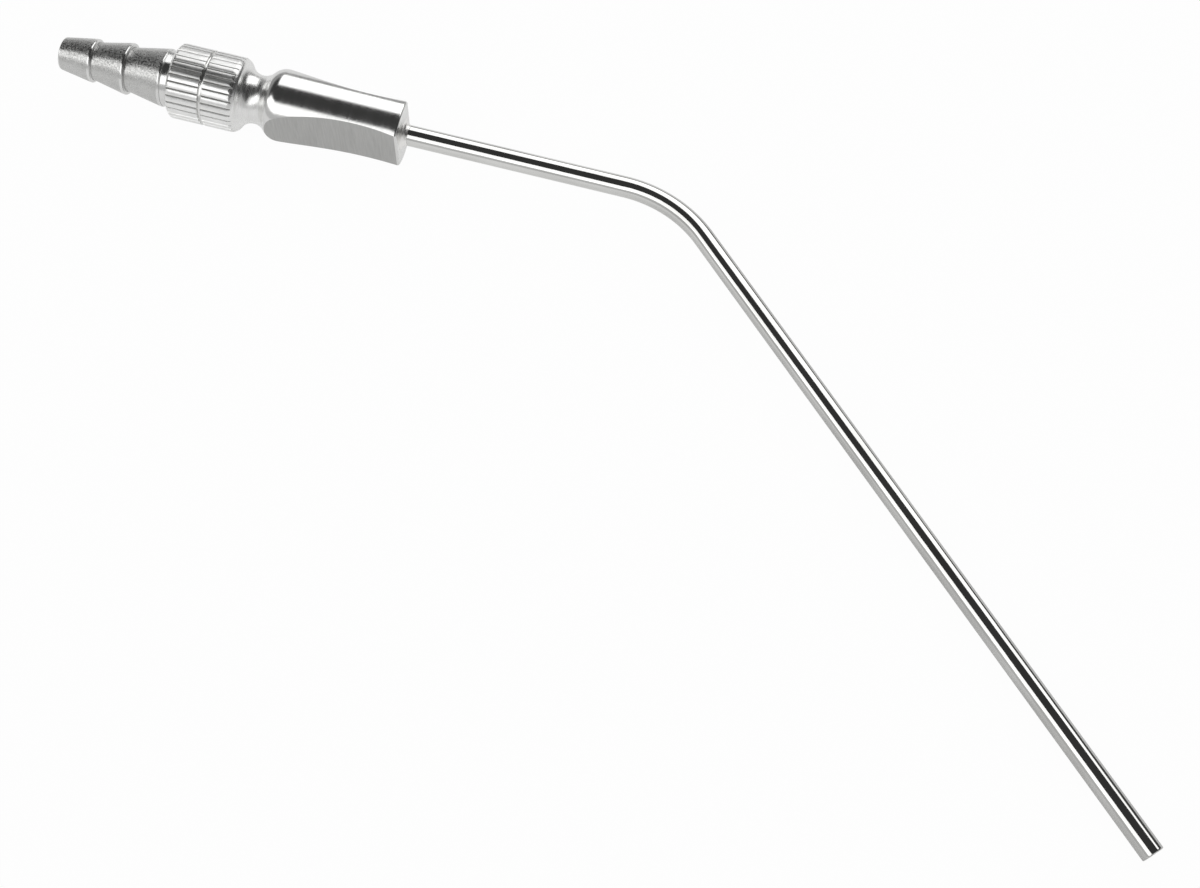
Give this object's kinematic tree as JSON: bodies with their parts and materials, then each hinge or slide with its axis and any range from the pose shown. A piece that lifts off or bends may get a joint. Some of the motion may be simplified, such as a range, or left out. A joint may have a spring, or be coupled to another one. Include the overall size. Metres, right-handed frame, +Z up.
{
  "type": "frazier suction tube",
  "caption": "Angled surgical suction tube: scooped metal grip with a knurled collar and stepped hose nozzle, and a thin bent cannula.",
  "frame": {"origin": "middle of the footprint's box, on the table it lies on", "axes": "+Z up from the table; +X from the hose end towards the cannula's tip; the cannula bends towards -Y, and the finger cut-off hole faces +Y"},
  "size_m": [0.1684, 0.083, 0.011],
  "materials": {
    "handle_steel": "polished waist and grip, fine-brushed scooped faces, satin knurl, matte nozzle steps",
    "cannula_steel": "mirror-polished stainless tube",
    "solder": "bright silver solder, smooth"
  },
  "bodies": {
    "root": {"handle": "handle_steel", "cannula": "cannula_steel", "solder_fillet": "solder"}
  },
  "joints": []
}
